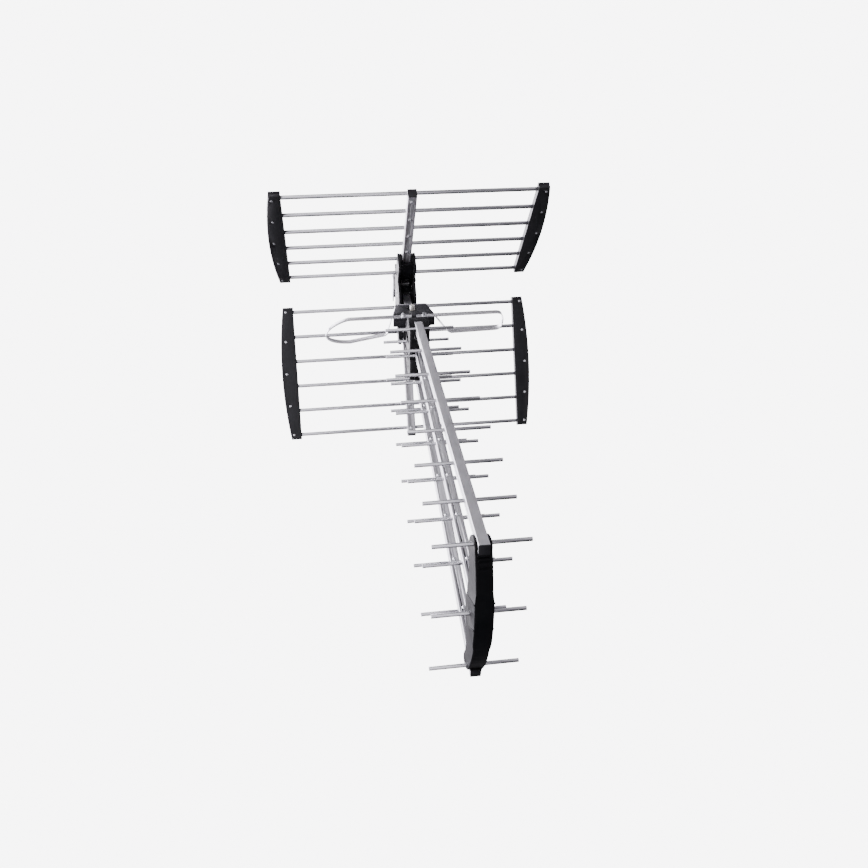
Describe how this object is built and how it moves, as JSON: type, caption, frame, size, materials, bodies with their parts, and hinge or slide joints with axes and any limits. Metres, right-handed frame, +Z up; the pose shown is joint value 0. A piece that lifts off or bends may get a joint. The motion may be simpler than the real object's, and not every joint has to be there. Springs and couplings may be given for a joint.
{
  "type": "yagi antenna",
  "caption": "Three-boom UHF yagi antenna with a folding V reflector, loop dipole with an F connector, black moulded joints and a tilting mast clamp.",
  "frame": {"origin": "on the mast's axis, level with the main boom, at the middle of the clamp's round seat", "axes": "+Z up along the mast, +Y to the rear along the main boom (the front tip is at -Y), +X to the right seen from the front"},
  "size_m": [0.568, 1.1029, 0.5868],
  "materials": {
    "boom_aluminium": "extruded satin",
    "rod_aluminium": "drawn satin",
    "strip_aluminium": "rolled, bright",
    "black_moulding": "fine moulded texture",
    "black_cap": "smooth moulded",
    "zinc_steel": "bright zinc plated",
    "bracket_steel": "galvanised",
    "nickel": "nickel plated",
    "board": "solder mask",
    "white_insulator": "natural"
  },
  "bodies": {
    "mast_clamp_body": {"clamp_bracket": "bracket_steel", "mast_saddle": "black_moulding", "u_bolt": "bracket_steel", "u_bolt_nuts": "zinc_steel", "tilt_bolt": "zinc_steel", "tilt_washer": "zinc_steel"},
    "antenna": {"balun_board": "board", "boom_bracket": "black_moulding", "connector_insulator": "white_insulator", "dipole_cover": "black_moulding", "dipole_housing": "black_moulding", "dipole_loop": "strip_aluminium", "f_connector": "nickel", "front_bow": "black_moulding", "hub_bolts": "zinc_steel", "hub_nuts": "zinc_steel", "lower_boom": "boom_aluminium", "lower_boom_cap": "black_cap", "lower_boom_screws": "zinc_steel", "lower_directors": "rod_aluminium", "main_boom": "boom_aluminium", "main_boom_plug": "black_moulding", "main_boom_screws": "zinc_steel", "main_directors": "rod_aluminium", "reflector_hub": "black_moulding", "terminal_screws": "zinc_steel", "upper_boom": "boom_aluminium", "upper_boom_cap": "black_cap", "upper_boom_screws": "zinc_steel", "upper_directors": "rod_aluminium"},
    "upper_panel": {"upper_panel_tube": "boom_aluminium", "upper_panel_cap": "black_cap", "upper_hinge_lug": "black_moulding", "upper_panel_screws": "zinc_steel", "upper_hinge_rod": "rod_aluminium", "upper_reflector_rods": "rod_aluminium", "upper_cap_screws": "zinc_steel", "upper_left_cap_front": "black_cap", "upper_left_cap_rear": "black_cap", "upper_right_cap_front": "black_cap", "upper_right_cap_rear": "black_cap"},
    "lower_panel": {"lower_panel_tube": "boom_aluminium", "lower_panel_cap": "black_cap", "lower_hinge_lug": "black_moulding", "lower_panel_screws": "zinc_steel", "lower_hinge_rod": "rod_aluminium", "lower_reflector_rods": "rod_aluminium", "lower_cap_screws": "zinc_steel", "lower_left_cap_front": "black_cap", "lower_left_cap_rear": "black_cap", "lower_right_cap_front": "black_cap", "lower_right_cap_rear": "black_cap"},
    "knob": {"clamp_knob": "black_cap"},
    "wing_nut": {"tilt_wing_nut": "black_cap"}
  },
  "joints": [
    {"name": "tilt", "type": "hinge", "parent": "mast_clamp_body", "child": "antenna", "pos_m": [0, -0.052, 0], "axis": [1, 0, 0], "range_deg": [-20, 20]},
    {"name": "upper_panel_fold", "type": "hinge", "parent": "antenna", "child": "upper_panel", "pos_m": [0, -0.0831, 0.0359], "axis": [-1, 0, 0], "range_deg": [0, 90]},
    {"name": "lower_panel_fold", "type": "hinge", "parent": "antenna", "child": "lower_panel", "pos_m": [0, -0.0831, -0.0507], "axis": [1, 0, 0], "range_deg": [0, 90]},
    {"name": "clamp_knob_turn", "type": "hinge", "parent": "antenna", "child": "knob", "pos_m": [-0.0244, -0.296, 0], "axis": [1, 0, 0], "continuous": true},
    {"name": "wing_nut_turn", "type": "hinge", "parent": "mast_clamp_body", "child": "wing_nut", "pos_m": [0.0237, -0.052, 0], "axis": [1, 0, 0], "continuous": true}
  ]
}
